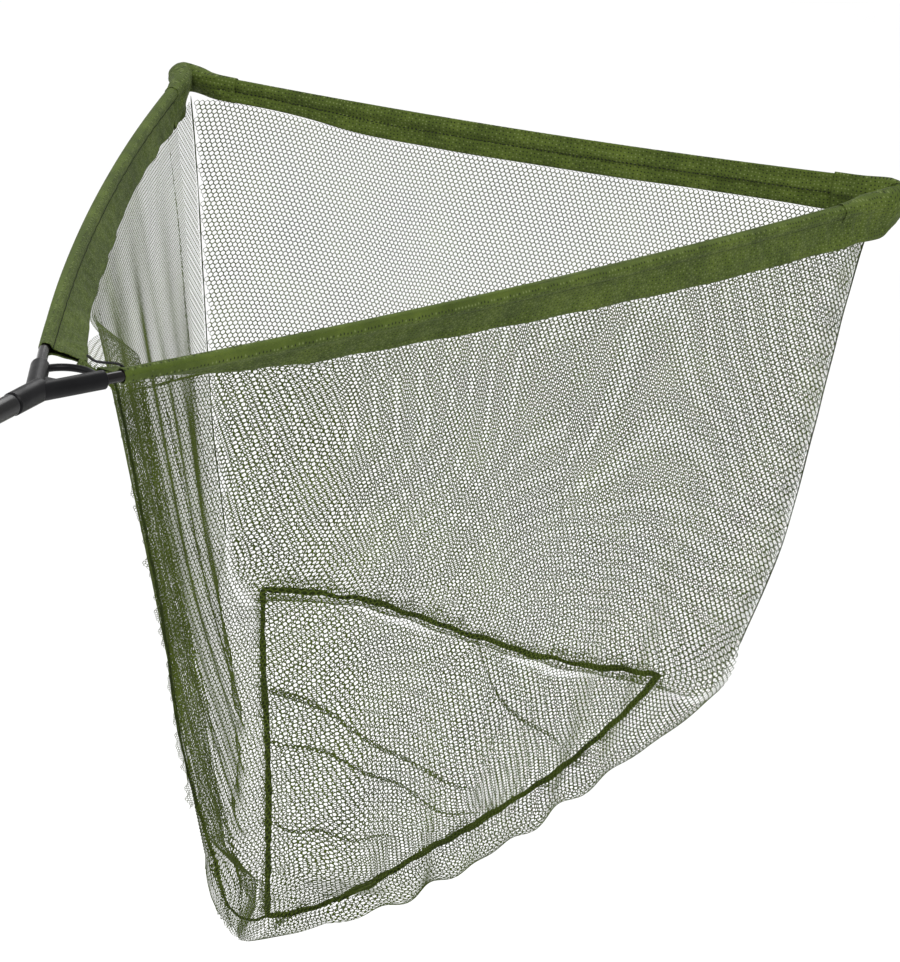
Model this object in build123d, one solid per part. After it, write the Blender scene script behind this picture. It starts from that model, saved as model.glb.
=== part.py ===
from build123d import *
import math
import os

# Landing net. Millimetres, +Z up, +X from the handle's grip towards the net's front cord.
# The origin is the middle of the grip, on the handle's axis, which lies in the mouth's plane.

# Handle
GRIP_LENGTH = 320.0
GRIP_R = 14.0
GRIP_EDGE = 2.5
HANDLE_LENGTH = 1800.0
HANDLE_R = 9.75
HANDLE_WALL = 1.25
BUTT_FLANGE = 7.0
BUTT_FLANGE_R = 13.0
BUTT_PLUG = 28.0

# Screw joint between handle and head, a 3/8 inch thread
THREAD_R = 4.76
THREAD_CLEARANCE = 0.08
THREAD_CHAMFER = 1.0
INSERT_LENGTH = 30.0
INSERT_FLANGE = 2.0
LOCK_RING = 2.5
LOCK_RING_R = 8.9
STUD_IN_BLOCK = 24.0
STUD_IN_HANDLE = 22.0

# Spreader block: a stem and two sockets, joined across by a curved brace
STEM_LENGTH = 37.5
STEM_R = 10.5
STEM_CHAMFER = 1.2
STEM_OVERLAP = 10.0
SOCKET_ANGLE = 26.0
SOCKET_R = 8.6
SOCKET_END = 73.0
SOCKET_CHAMFER = 1.2
SOCKET_FLOOR = 30.0
SOCKET_CLEARANCE = 0.06
BRACE_R = 3.4
BRACE_FOOT = 62.0
BRACE_REACH = 79.0
WEB_THICKNESS = 8.0
WEB_END = 34.0

# Arms: straight in the socket, then one long even bend inwards
ARM_R = 5.0
ARM_LENGTH = 1070.0
ARM_STRAIGHT = 105.0
ARM_BEND = 9.5
ARM_END_GAP = 0.5
TIP_R = 7.0
TIP_GRIP = 26.0
TIP_NOSE = 16.0
TIP_ROUND = 3.0
TIP_OVERLAP = 2.0
CORD_HOLE_R = 4.0

# Bow cord between the arm tips, with a little sag
CORD_R = 2.0
CORD_SAG = 8.0
KNOT_R = 5.0
KNOT_GAP = 1.5
CORD_END = 1.0

# Fabric rim sleeves, hanging as a flat tube below each arm and below the cord
SLEEVE_START = 104.0
SLEEVE_WIDTH = 13.0
SLEEVE_UP = 7.0
SLEEVE_DOWN = 33.0
SLEEVE_CHANNEL_R = 5.4
POCKET_REACH = 38.0
POCKET_WALL = 2.0
POCKET_TOP = 11.0
POCKET_NOSE_R = 18.0
POCKET_TAIL_R = 11.0
POCKET_NOSE_OFFSET = 4.0
POCKET_ARM_GAP = 0.8
POCKET_CORD_GAP = 0.5
CLOTH_GAP = 2.0
CORD_CHANNEL_GAP = 1.0

# Bag: three side panels and a base, sewn together with thick gathered seams
NET_THICKNESS = 2.0
SEAM_R = 3.0
BASE_SEAM_R = 4.0
SEAM_CLEARANCE = 6.5
THROAT_TOP = (140.0, 0.0, -38.0)
THROAT_MIDDLE = (290.0, 0.0, -430.0)
BASE_BACK = (466.0, 0.0, -690.0)
BASE_FRONT = (905.0, 245.0, -525.0)
TOP_BOW = 36.0
MIDDLE_BOW = 18.0
BASE_BOW = 6.0
FRONT_MIDDLE_SHARE = 0.6
BASE_INSET = 0.92
THROAT_BEND_R = 500.0
CORNER_SEAM_IN = 8.0
CORNER_SEAM_DROP = 3.0

# Throat: a short band between the sleeves' ends, and an elastic tie above it
STRAP_AT = (112.0, 0.0, -20.0)
STRAP_SIZE = (2.0, 90.0, 14.0)
TIE_R = 1.3
TIE_ROUTE = ((116.0, 12.0, -9.5), (112.0, -8.0, -7.0), (101.0, -33.0, -9.5))

os.makedirs("parts", exist_ok=True)

HANDLE_BACK = -GRIP_LENGTH / 2
HANDLE_FRONT = HANDLE_BACK + HANDLE_LENGTH
STEM_BACK = HANDLE_FRONT + INSERT_FLANGE + LOCK_RING
HEAD_X = STEM_BACK + STEM_LENGTH
BEND_R = (ARM_LENGTH - ARM_STRAIGHT) / math.radians(ARM_BEND)
UP = Vector(0, 0, 1)


def polar(angle, length=1.0):
    return Vector(math.cos(math.radians(angle)), math.sin(math.radians(angle)), 0) * length


SOCKET_DIR = polar(SOCKET_ANGLE)
BEND_START = SOCKET_DIR * ARM_STRAIGHT
BEND_CENTRE = BEND_START - SOCKET_DIR.rotate(Axis.Z, 90) * BEND_R
TIP_DIR = polar(SOCKET_ANGLE - ARM_BEND)


def arm_point(length):
    """A point on the left arm's centre line, measured along it from the sockets' meeting point."""
    if length <= ARM_STRAIGHT:
        return SOCKET_DIR * length
    turned = math.degrees((length - ARM_STRAIGHT) / BEND_R)
    return BEND_CENTRE + (BEND_START - BEND_CENTRE).rotate(Axis.Z, -turned)


ARM_TIP = arm_point(ARM_LENGTH)
CORNER = ARM_TIP + TIP_DIR * (TIP_NOSE / 2)
CORD_BEND_R = (CORNER.Y ** 2 + CORD_SAG ** 2) / (2 * CORD_SAG)


def cylinder(start, end, radius):
    start, end = Vector(*start), Vector(*end)
    plane = Plane(origin=start, z_dir=end - start)
    return plane * Cylinder(radius, (end - start).length, align=(Align.CENTER, Align.CENTER, Align.MIN))


def ring(start, end, outer, inner):
    return cylinder(start, end, outer) - cylinder(start, end, inner)


def mirrored(shape):
    return mirror(shape, about=Plane.XZ)


def bend_sweep(sketch, start, end):
    """Turn a section, drawn with X outwards and Y up, along the left arm's bend."""
    turned = math.degrees((start - ARM_STRAIGHT) / BEND_R)
    outward = (BEND_START - BEND_CENTRE).normalized().rotate(Axis.Z, -turned)
    plane = Plane(origin=BEND_CENTRE, x_dir=outward, z_dir=outward.cross(UP))
    arc = math.degrees((end - start) / BEND_R)
    placed = plane * Pos(BEND_R, 0) * sketch
    return revolve(placed, axis=Axis(BEND_CENTRE, -UP), revolution_arc=arc)


def handle_tube():
    inner = HANDLE_R - HANDLE_WALL
    return ring((HANDLE_BACK, 0, 0), (HANDLE_FRONT, 0, 0), HANDLE_R, inner)


def handle_grip():
    grip = cylinder((HANDLE_BACK, 0, 0), (HANDLE_BACK + GRIP_LENGTH, 0, 0), GRIP_R)
    grip = fillet(grip.edges().filter_by(GeomType.CIRCLE), GRIP_EDGE)
    return grip - cylinder((HANDLE_BACK, 0, 0), (HANDLE_BACK + GRIP_LENGTH, 0, 0), HANDLE_R)


def butt_cap():
    flange = cylinder((HANDLE_BACK - BUTT_FLANGE, 0, 0), (HANDLE_BACK, 0, 0), BUTT_FLANGE_R)
    rear = flange.faces().sort_by(Axis.X)[0]
    flange = fillet(rear.edges(), GRIP_EDGE)
    plug_r = HANDLE_R - HANDLE_WALL
    return flange + cylinder((HANDLE_BACK, 0, 0), (HANDLE_BACK + BUTT_PLUG, 0, 0), plug_r)


def thread_insert():
    """Threaded bush pressed into the handle's front end; its flange covers the tube's rim."""
    body = cylinder((HANDLE_FRONT - INSERT_LENGTH, 0, 0), (HANDLE_FRONT, 0, 0), HANDLE_R - HANDLE_WALL)
    body += cylinder((HANDLE_FRONT, 0, 0), (HANDLE_FRONT + INSERT_FLANGE, 0, 0), HANDLE_R)
    bore = THREAD_R + THREAD_CLEARANCE
    return body - cylinder(
        (HANDLE_FRONT - INSERT_LENGTH, 0, 0), (HANDLE_FRONT + INSERT_FLANGE, 0, 0), bore
    )


def lock_ring():
    return ring((STEM_BACK - LOCK_RING, 0, 0), (STEM_BACK, 0, 0), LOCK_RING_R, THREAD_R)


def thread_stud():
    stud = cylinder((STEM_BACK - STUD_IN_HANDLE, 0, 0), (STEM_BACK + STUD_IN_BLOCK, 0, 0), THREAD_R)
    return chamfer(stud.edges().filter_by(GeomType.CIRCLE), THREAD_CHAMFER)


def socket_body(side):
    direction = Vector(SOCKET_DIR.X, side * SOCKET_DIR.Y, 0)
    body = cylinder((0, 0, 0), direction * SOCKET_END, SOCKET_R)
    end = body.faces().sort_by(Axis(Vector(0, 0, 0), direction))[-1]
    return chamfer(end.edges(), SOCKET_CHAMFER)


def spreader_block():
    stem = cylinder((-STEM_LENGTH, 0, 0), (STEM_OVERLAP, 0, 0), STEM_R)
    stem = chamfer(stem.faces().sort_by(Axis.X)[0].edges(), STEM_CHAMFER)
    block = stem + socket_body(1) + socket_body(-1)
    web_half = WEB_END * math.tan(math.radians(SOCKET_ANGLE))
    web = Polygon((0, 0), (WEB_END, -web_half), (WEB_END, web_half), align=None)
    block += extrude(web, WEB_THICKNESS / 2, both=True)
    foot = SOCKET_DIR * BRACE_FOOT
    brace_line = ThreePointArc((foot.X, -foot.Y, 0), (BRACE_REACH, 0, 0), (foot.X, foot.Y, 0))
    block += sweep(Plane(origin=brace_line @ 0, z_dir=brace_line % 0) * Circle(BRACE_R), path=brace_line)
    for side in (1, -1):
        direction = Vector(SOCKET_DIR.X, side * SOCKET_DIR.Y, 0)
        bore = cylinder(direction * SOCKET_FLOOR, direction * SOCKET_END, ARM_R + SOCKET_CLEARANCE)
        block -= bore
    stud_hole = cylinder((-STEM_LENGTH, 0, 0), (STUD_IN_BLOCK - STEM_LENGTH, 0, 0), THREAD_R)
    return Pos(HEAD_X, 0, 0) * (block - stud_hole)


def arm_left():
    straight = cylinder(SOCKET_DIR * (SOCKET_FLOOR + ARM_END_GAP), BEND_START, ARM_R)
    return straight + bend_sweep(Circle(ARM_R), ARM_STRAIGHT, ARM_LENGTH)


def arm_tip_left():
    """Moulded cap glued over the arm's end, with an eye for the bow cord."""
    cap = cylinder(ARM_TIP - TIP_DIR * TIP_GRIP, ARM_TIP + TIP_DIR * TIP_NOSE, TIP_R)
    cap = fillet(cap.faces().sort_by(Axis(Vector(0, 0, 0), TIP_DIR))[-1].edges(), TIP_ROUND)
    held = bend_sweep(Circle(ARM_R), ARM_LENGTH - TIP_GRIP - TIP_OVERLAP, ARM_LENGTH)
    reach = Vector(0, 2 * TIP_R, 0)
    return cap - held - cylinder(CORNER - reach, CORNER + reach, CORD_HOLE_R)


def cord_knot_left():
    centre = CORNER + Vector(0, TIP_R + KNOT_R + KNOT_GAP, 0)
    return Pos(centre) * Sphere(KNOT_R)


def cord_arc(sketch, half_span):
    """Turn a section, drawn at the middle of the cord, evenly both ways along the cord's sag."""
    centre = Vector(CORNER.X, 0, CORD_BEND_R - CORD_SAG)
    arc = math.degrees(math.asin(half_span / CORD_BEND_R))
    placed = Plane(origin=(CORNER.X, 0, -CORD_SAG), x_dir=(1, 0, 0), z_dir=(0, -1, 0)) * sketch
    placed = placed.rotate(Axis(centre, Vector(1, 0, 0)), -arc)
    return revolve(placed, axis=Axis(centre, Vector(1, 0, 0)), revolution_arc=2 * arc)


def bow_cord():
    return cord_arc(Circle(CORD_R), CORNER.Y + TIP_R + CORD_END)


def sleeve_section(channel_r):
    """Flat fabric tube: a tall rounded outline with a round channel near its top."""
    height = SLEEVE_UP + SLEEVE_DOWN
    outline = SlotOverall(height, SLEEVE_WIDTH, rotation=90)
    return Pos(0, SLEEVE_UP - height / 2) * outline - Circle(channel_r)


def sleeve_left():
    end = ARM_LENGTH - POCKET_REACH - POCKET_TAIL_R - CLOTH_GAP
    return bend_sweep(sleeve_section(SLEEVE_CHANNEL_R), SLEEVE_START, end)


def sleeve_front():
    half_span = CORNER.Y - POCKET_REACH - POCKET_TAIL_R - CLOTH_GAP
    return cord_arc(sleeve_section(CORD_R + CORD_CHANNEL_GAP), half_span)


def corner_pocket_left():
    """Fabric corner that covers the arm's tip and the cord's knot, open underneath."""
    along_arm = ARM_TIP - TIP_DIR * POCKET_REACH
    along_cord = CORNER - Vector(0, POCKET_REACH, 0)
    nose = CORNER + Vector(0, POCKET_NOSE_OFFSET, 0)

    def outline(inset):
        rings = [(nose, POCKET_NOSE_R), (along_arm, POCKET_TAIL_R), (along_cord, POCKET_TAIL_R)]
        circles = [Pos(at.X, at.Y) * Circle(radius - inset) for at, radius in rings]
        return make_hull([edge for circle in circles for edge in circle.edges()])

    depth = POCKET_TOP + SLEEVE_DOWN
    pocket = Pos(0, 0, -SLEEVE_DOWN) * extrude(outline(0), depth)
    pocket -= Pos(0, 0, -SLEEVE_DOWN) * extrude(outline(POCKET_WALL), depth - POCKET_WALL)
    pocket -= cylinder(ARM_TIP - TIP_DIR * 2 * POCKET_REACH, ARM_TIP, ARM_R + POCKET_ARM_GAP)
    pocket -= cylinder(CORNER - Vector(0, 2 * POCKET_REACH, 0), CORNER, CORD_HOLE_R + POCKET_CORD_GAP)
    return pocket


def net_band(start, end, outward, bow):
    """Thin face between two points, bowed outwards, as a cut through a hanging net panel."""
    start, end, outward = Vector(*start), Vector(*end), Vector(*outward).normalized()
    middle = (start + end) * 0.5 + outward * bow
    inward = outward * -NET_THICKNESS
    edges = [
        ThreePointArc(start, middle, end),
        Line(end, end + inward),
        ThreePointArc(end + inward, middle + inward, start + inward),
        Line(start + inward, start),
    ]
    return Face(Wire(edges))


def towards(start, end, distance):
    start, end = Vector(*start), Vector(*end)
    return start + (end - start).normalized() * distance


def corner_seam_points():
    below = -SLEEVE_DOWN - CORNER_SEAM_DROP
    return CORNER + Vector(-CORNER_SEAM_IN, -CORNER_SEAM_IN, below), Vector(*BASE_FRONT)


def along(start, end, share):
    return Vector(*start) + (Vector(*end) - Vector(*start)) * share


def net_panel_left():
    """Side panel from the left arm's sleeve down to the base, between throat and corner."""
    corner_top, corner_bottom = corner_seam_points()
    sections = []
    rows = (
        (THROAT_TOP, corner_top, TOP_BOW),
        (THROAT_MIDDLE, along(corner_top, corner_bottom, FRONT_MIDDLE_SHARE), MIDDLE_BOW),
        (BASE_BACK, corner_bottom, BASE_BOW),
    )
    for back, front, bow in rows:
        lift = Vector(0, 0, SEAM_CLEARANCE if back == BASE_BACK else 0)
        start = towards(back, front, SEAM_CLEARANCE * 2) + lift
        end = towards(front, back, SEAM_CLEARANCE) + lift
        chord = end - start
        outward = Vector(-chord.Y, chord.X, 0)
        sections.append(net_band(start, end, outward, bow))
    return loft(sections, ruled=True)


def net_panel_front():
    corner_top, corner_bottom = corner_seam_points()
    sections = []
    for share in (0.0, 1.0):
        corner = along(corner_top, corner_bottom, share)
        half = corner.Y - 1.5 * SEAM_CLEARANCE
        height = corner.Z + (SEAM_CLEARANCE if share else -CORD_SAG)
        start = Vector(corner.X, half, height)
        end = Vector(corner.X, -half, height)
        sections.append(net_band(start, end, (1, 0, 0), BASE_BOW))
    return loft(sections, ruled=True)


def net_base():
    back, left = Vector(*BASE_BACK), Vector(*BASE_FRONT)
    right = Vector(left.X, -left.Y, left.Z)
    centre = (back + left + right) / 3
    inset = [centre + (corner - centre) * BASE_INSET for corner in (back, left, right)]
    face = Face(Wire([Line(inset[0], inset[1]), Line(inset[1], inset[2]), Line(inset[2], inset[0])]))
    return extrude(face, NET_THICKNESS, dir=(0, 0, 1))


def seam(start, end, radius, trim):
    return cylinder(towards(start, end, trim), towards(end, start, trim), radius)


def throat_seam():
    bottom = towards(BASE_BACK, THROAT_MIDDLE, 3 * BASE_SEAM_R)
    path = FilletPolyline(THROAT_TOP, THROAT_MIDDLE, bottom, radius=THROAT_BEND_R)
    return sweep(Plane(origin=path @ 0, z_dir=path % 0) * Circle(SEAM_R), path=path)


def base_seam_front():
    left = Vector(*BASE_FRONT)
    return seam(left, Vector(left.X, -left.Y, left.Z), BASE_SEAM_R, 2 * BASE_SEAM_R)


def throat_strap():
    """Short band that ties the two arm sleeves' ends together in front of the block."""
    return Pos(*STRAP_AT) * Box(*STRAP_SIZE)


def throat_tie():
    """Black elastic cord at the throat, just above the strap."""
    path = ThreePointArc(*TIE_ROUTE)
    return sweep(Plane(origin=path @ 0, z_dir=path % 0) * Circle(TIE_R), path=path)


def in_head_frame(shape):
    return Pos(HEAD_X, 0, 0) * shape


def build():
    parts = {
        "handle_tube": handle_tube(),
        "handle_grip": handle_grip(),
        "butt_cap": butt_cap(),
        "thread_insert": thread_insert(),
        "lock_ring": lock_ring(),
        "thread_stud": thread_stud(),
        "spreader_block": spreader_block(),
    }
    head_parts = {
        "bow_cord": bow_cord(),
        "sleeve_front": sleeve_front(),
        "net_panel_front": net_panel_front(),
        "net_base": net_base(),
        "throat_seam": throat_seam(),
        "base_seam_front": base_seam_front(),
        "throat_strap": throat_strap(),
        "throat_tie": throat_tie(),
    }
    corner_top, corner_bottom = corner_seam_points()
    left_parts = {
        "arm": arm_left(),
        "arm_tip": arm_tip_left(),
        "cord_knot": cord_knot_left(),
        "sleeve": sleeve_left(),
        "corner_pocket": corner_pocket_left(),
        "net_panel": net_panel_left(),
        "corner_seam": seam(corner_top, corner_bottom, SEAM_R, 3 * SEAM_R),
        "base_seam": seam(BASE_BACK, corner_bottom, BASE_SEAM_R, 2 * BASE_SEAM_R),
    }
    for name, shape in head_parts.items():
        parts[name] = in_head_frame(shape)
    for name, shape in left_parts.items():
        parts[name + "_left"] = in_head_frame(shape)
        parts[name + "_right"] = in_head_frame(mirrored(shape))
    return parts


for node, shape in build().items():
    export_step(shape, f"parts/{node}.step")
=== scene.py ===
import math

import bpy
import numpy as np
from mathutils import Matrix, Vector


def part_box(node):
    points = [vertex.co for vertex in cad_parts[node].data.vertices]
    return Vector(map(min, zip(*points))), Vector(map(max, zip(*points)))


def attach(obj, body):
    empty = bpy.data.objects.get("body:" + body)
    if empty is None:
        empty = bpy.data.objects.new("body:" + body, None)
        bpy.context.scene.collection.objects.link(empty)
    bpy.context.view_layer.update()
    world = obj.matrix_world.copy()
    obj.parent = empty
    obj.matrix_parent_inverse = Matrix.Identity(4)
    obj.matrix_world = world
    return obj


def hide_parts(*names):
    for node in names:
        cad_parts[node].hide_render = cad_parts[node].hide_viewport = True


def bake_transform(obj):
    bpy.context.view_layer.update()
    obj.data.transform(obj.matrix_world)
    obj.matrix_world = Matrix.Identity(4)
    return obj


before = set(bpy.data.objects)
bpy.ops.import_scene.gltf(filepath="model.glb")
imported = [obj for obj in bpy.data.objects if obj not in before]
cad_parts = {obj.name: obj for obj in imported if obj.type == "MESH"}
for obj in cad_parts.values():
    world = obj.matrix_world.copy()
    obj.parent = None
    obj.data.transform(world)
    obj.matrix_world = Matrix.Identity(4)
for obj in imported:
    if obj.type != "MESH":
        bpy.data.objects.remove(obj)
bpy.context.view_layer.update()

# A landing net. Metres, in the frame's own axes. Points called "head" points are measured from the
# place where the two sockets' axes meet, which HEAD puts in the frame.
STEM_LENGTH = 0.0375
HEAD = np.array([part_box("spreader_block")[0][0] + STEM_LENGTH, 0.0, 0.0])

# The arms' centre lines: straight in the socket, then one even bend inwards
SOCKET_ANGLE = math.radians(26.0)
ARM_STRAIGHT = 0.105
ARM_LENGTH = 1.070
ARM_BEND = math.radians(9.5)
BEND_R = (ARM_LENGTH - ARM_STRAIGHT) / ARM_BEND
ARM_R = 0.005

# Rim sleeves: a flat fabric tube with the arm or the cord in its upper edge
SLEEVE_WIDTH = 0.040
HEM_OVERLAP = 0.003
SLEEVE_START = {1: 0.122, -1: 0.092}
NET_START = 0.132
SLEEVE_END = 1.030
CORD_SAG = 0.008
CORNER = np.array([1.000, 0.3976, 0.0])
CORD_R = 0.0026
FRONT_TILT = math.radians(86)
STITCH_PITCH = 0.0046

# The bag's seams, as head points on the left side; the right side is their mirror image
THROAT = [(0.136, 0, -0.018), (0.156, 0, -0.060), (0.197, 0, -0.165), (0.245, 0, -0.290),
          (0.287, 0, -0.422), (0.318, 0, -0.500), (0.342, 0, -0.560)]
CORNER_LINE = [(0.987, 0.385, -0.019), (0.978, 0.369, -0.106), (0.966, 0.349, -0.240),
               (0.953, 0.328, -0.368), (0.933, 0.297, -0.478)]
SEAM_THROAT_FOOT = [(0.342, 0, -0.535), (0.365, 0, -0.577), (0.390, 0, -0.626), (0.430, 0, -0.660),
                    (0.479, 0, -0.677)]
BASE_SEAM = [(0.479, 0, -0.677), (0.548, 0.036, -0.678), (0.620, 0.074, -0.658), (0.692, 0.113, -0.634),
             (0.765, 0.155, -0.604), (0.832, 0.196, -0.561), (0.891, 0.2295, -0.510)]
FRONT_SEAM = [(0.891, 0.2295, -0.510), (0.894, 0.110, -0.500), (0.893, 0.0, -0.511),
              (0.892, -0.110, -0.519), (0.891, -0.2295, -0.510)]
# Beside the throat seam the netting draws in to a narrow V: its profile there and the V's slope
THROAT_PROFILE = THROAT + [(0.344, 0, -0.590), (0.352, 0, -0.612), (0.370, 0, -0.630), (0.420, 0, -0.665)]
THROAT_SLOPE = 0.34
THROAT_OPENS = 0.11
THROAT_SLACK = 0.075
OUT_THROAT = (-1.0, 0.0, 0.0)
OUT_SIDE = (-0.487, 0.874, 0.0)
OUT_CORNER = (0.53, 0.848, 0.0)
OUT_FRONT = (1.0, 0.0, 0.0)
TURN_UNDER = 0.90
STITCH_LINE = 0.0072

# Netting
CELL = 0.0052
ROW = 0.0040
ZIGZAG = 0.22
STRAND = 0.21
LEFT_STRAND = 0.165
STRAND_HEIGHT = 0.00035
UPPER_SHARE = 0.44

# The camera: (azimuth, elevation, roll) in degrees, and the head point that it looks at
LENS, SENSOR = 193.5, 36.0
VIEW_ANGLES = (-155.0, 19.4, 2.8)
VIEW_TARGET = (0.613, -0.112, -0.2405)
VIEW_DISTANCE = 5.0

UP = np.array([0.0, 0.0, 1.0])
MIRROR = np.array([1.0, -1.0, 1.0])


# ---------------------------------------------------------------- curves
def smooth_line(points, steps=40):
    """Dense points along a Catmull-Rom curve through a few given ones."""
    p = np.asarray(points, float)
    p = np.vstack([2 * p[0] - p[1], p, 2 * p[-1] - p[-2]])
    u = np.linspace(0, 1, steps, endpoint=False)[:, None]
    runs = []
    for a, b, c, d in zip(p, p[1:], p[2:], p[3:]):
        runs.append(0.5 * (2 * b + (c - a) * u + (2 * a - 5 * b + 4 * c - d) * u ** 2
                           + (3 * b - a - 3 * c + d) * u ** 3))
    return np.vstack(runs + [p[-2:-1]])


def length_of(line):
    return float(np.linalg.norm(np.diff(line, axis=0), axis=1).sum())


def at(line, share):
    """Points at the given shares of a line's length."""
    steps = np.linalg.norm(np.diff(line, axis=0), axis=1)
    travelled = np.concatenate([[0], np.cumsum(steps)]) / steps.sum()
    share = np.clip(share, 0, 1)
    return np.stack([np.interp(share, travelled, line[:, k]) for k in range(3)], -1)


def ease(x, low=0.0, high=1.0):
    x = np.clip((x - low) / (high - low), 0, 1)
    return x * x * (3 - 2 * x)


def waves(x, y, sizes, seed):
    """Smooth irregular height from a few sine waves of the given sizes, about 1 high."""
    pick = np.random.default_rng(seed)
    total = 0
    for size in sizes:
        heading, phase = pick.uniform(0, 2 * math.pi, 2)
        total = total + np.sin(2 * math.pi * (x * math.cos(heading) + y * math.sin(heading)) / size + phase)
    return total / len(sizes)


def arm_line(s):
    """Head points on the left arm's centre line and its heading, at lengths s along it."""
    s = np.asarray(s, float)
    heading = SOCKET_ANGLE - np.clip(s - ARM_STRAIGHT, 0, None) / BEND_R
    straight = np.minimum(s, ARM_STRAIGHT)
    x = straight * math.cos(SOCKET_ANGLE) + BEND_R * (math.sin(SOCKET_ANGLE) - np.sin(heading))
    y = straight * math.sin(SOCKET_ANGLE) + BEND_R * (np.cos(heading) - math.cos(SOCKET_ANGLE))
    return np.stack([x, y, 0 * x], -1), heading


def sleeve_tilt(s):
    """How steeply the sleeve hangs: held level at the block, almost upright at the tip."""
    return np.radians(np.interp(s, [0.09, 0.13, 0.16, 0.20, 0.27, 0.32, 0.42, 0.56, 0.70, 0.80, 1.03],
                                [8, 17, 26, 36, 46, 53, 58, 67, 77, 84, 86]))


def hung(line, tilt):
    """Hemward direction and flat side's normal of cloth hung from a line with the bag to its right."""
    heading = np.gradient(line, axis=0)
    heading /= np.linalg.norm(heading, axis=1, keepdims=True)
    inward = np.stack([heading[:, 1], -heading[:, 0], 0 * heading[:, 0]], -1)
    tilt = np.asarray(tilt)[..., None]
    return inward * np.cos(tilt) - UP * np.sin(tilt), inward * np.sin(tilt) + UP * np.cos(tilt)


def sleeve_hem(s, reach=SLEEVE_WIDTH - HEM_OVERLAP):
    """Head points on the left sleeve, reach below its arm."""
    centre, _ = arm_line(s)
    hemward, _ = hung(centre, sleeve_tilt(s))
    return centre + hemward * reach


def cord_line(y):
    """Head points on the bow cord's centre line."""
    y = np.asarray(y, float)
    sag = CORD_SAG * (1 - (y / CORNER[1]) ** 2)
    return np.stack([0 * y + CORNER[0], y, -sag], -1)


def front_rise(y):
    """How far the front sleeve stands above its cord: it is drawn up most at the right corner."""
    return 0.0112 - 0.0155 * np.asarray(y)


def front_width(y):
    """From the cord down to the front sleeve's hem."""
    y = np.asarray(y)
    whole = 0.0245 + 0.0095 * ease(CORNER[1] - y, 0.08, 0.26) + 0.003 * ease(-y, 0.22, 0.34)
    return whole - front_rise(y)


# ---------------------------------------------------------------- the bag's surface
def top_of_side():
    hem = sleeve_hem(np.linspace(NET_START, SLEEVE_END - 0.01, 60))
    throat = np.array(THROAT[:1])
    return np.vstack([throat, hem[1:], np.array(CORNER_LINE[:1])])


def top_of_front():
    y = np.linspace(0.93, -0.93, 60) * CORNER[1]
    hem = cord_line(y) - UP * (front_width(y) - HEM_OVERLAP)[:, None] - np.array([0.002, 0, 0])
    corner = np.array(CORNER_LINE[0])
    return np.vstack([corner, hem[1:-1], corner * MIRROR])


def drawn_in(p, soft=0.004):
    """Holds points of the left side within the V beside the throat seam, except just below the hem."""
    profile = np.array(THROAT_PROFILE)
    foot = np.interp(-p[..., 2], -profile[:, 2], profile[:, 0])
    slack = THROAT_SLACK * (1 - ease(-p[..., 2], 0.010, 0.045))
    beyond = p[..., 0] - foot
    limit = THROAT_SLOPE * beyond + 0.9 * np.clip(beyond - THROAT_OPENS, 0, None) + slack + 0.002
    over = np.clip((p[..., 1] - limit) / soft, -30, 30)
    drawn = p.copy()
    drawn[..., 1] -= np.clip(soft * np.log1p(np.exp(over)), 0, np.maximum(p[..., 1], 0))
    return drawn


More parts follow.
